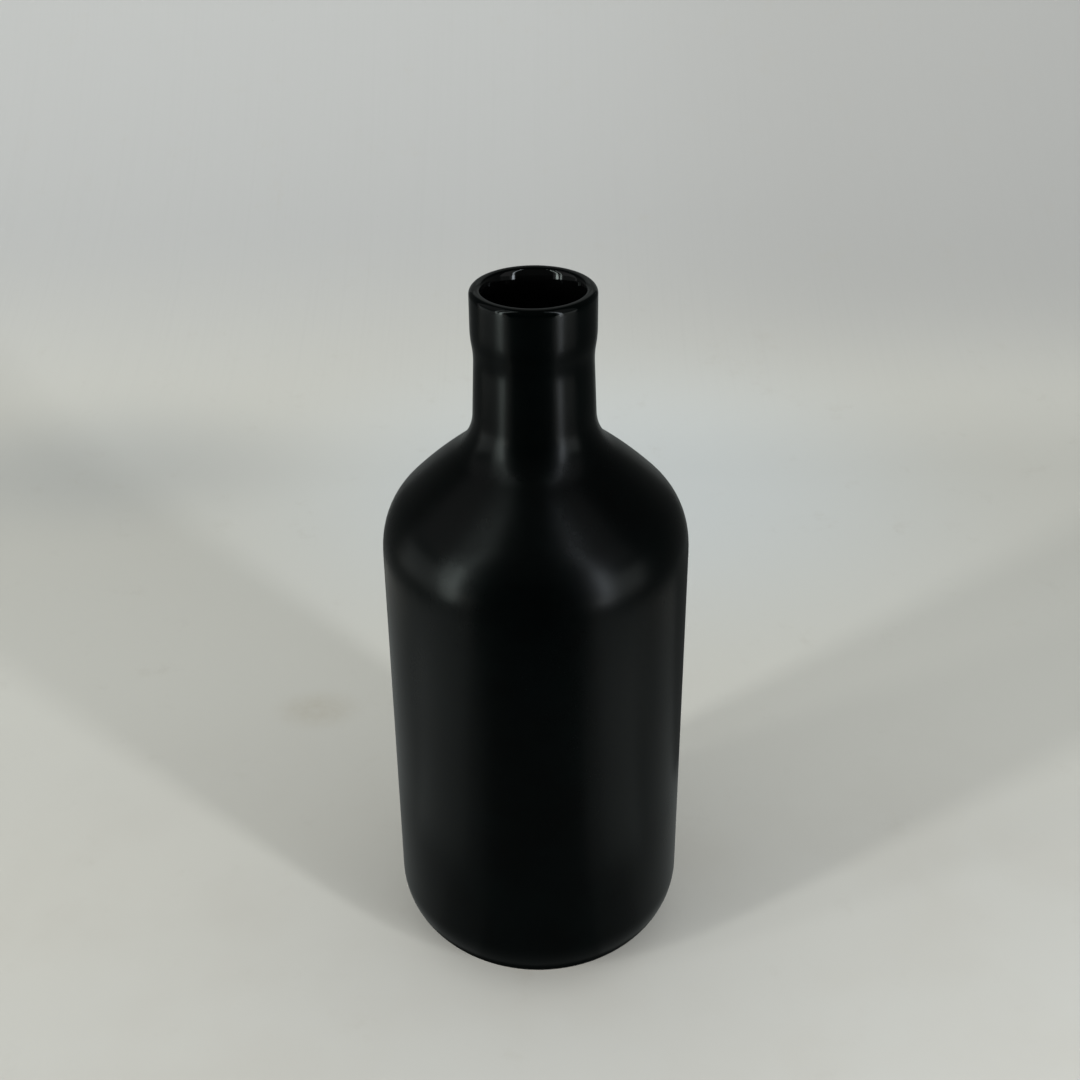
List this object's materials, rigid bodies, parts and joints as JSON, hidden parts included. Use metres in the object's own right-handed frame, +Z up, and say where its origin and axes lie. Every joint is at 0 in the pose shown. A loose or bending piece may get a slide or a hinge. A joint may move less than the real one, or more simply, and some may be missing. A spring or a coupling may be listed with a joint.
{
  "type": "bottle vase",
  "caption": "Tall cylindrical bottle vase with a rounded shoulder, a narrow open neck and a soft collar, matt outside and glossy inside, for flower stems.",
  "frame": {"origin": "middle of the foot ring, on the surface the vase stands on", "axes": "+Z up along the vase's axis of revolution, towards the mouth; X and Y are level, and the picture looks along +Y"},
  "size_m": [0.11, 0.11, 0.27],
  "materials": {
    "bare_stoneware": "bare fired clay, slightly sandy",
    "matt_black_glaze": "satin matt black glaze",
    "gloss_black_glaze": "glossy black glaze",
    "matt_black_underside": "satin matt black glaze, thinner than outside"
  },
  "bodies": {
    "root": {"stoneware_body": "bare_stoneware", "matt_outer_glaze": "matt_black_glaze", "gloss_inner_glaze": "gloss_black_glaze", "underside_glaze": "matt_black_underside"}
  },
  "joints": []
}
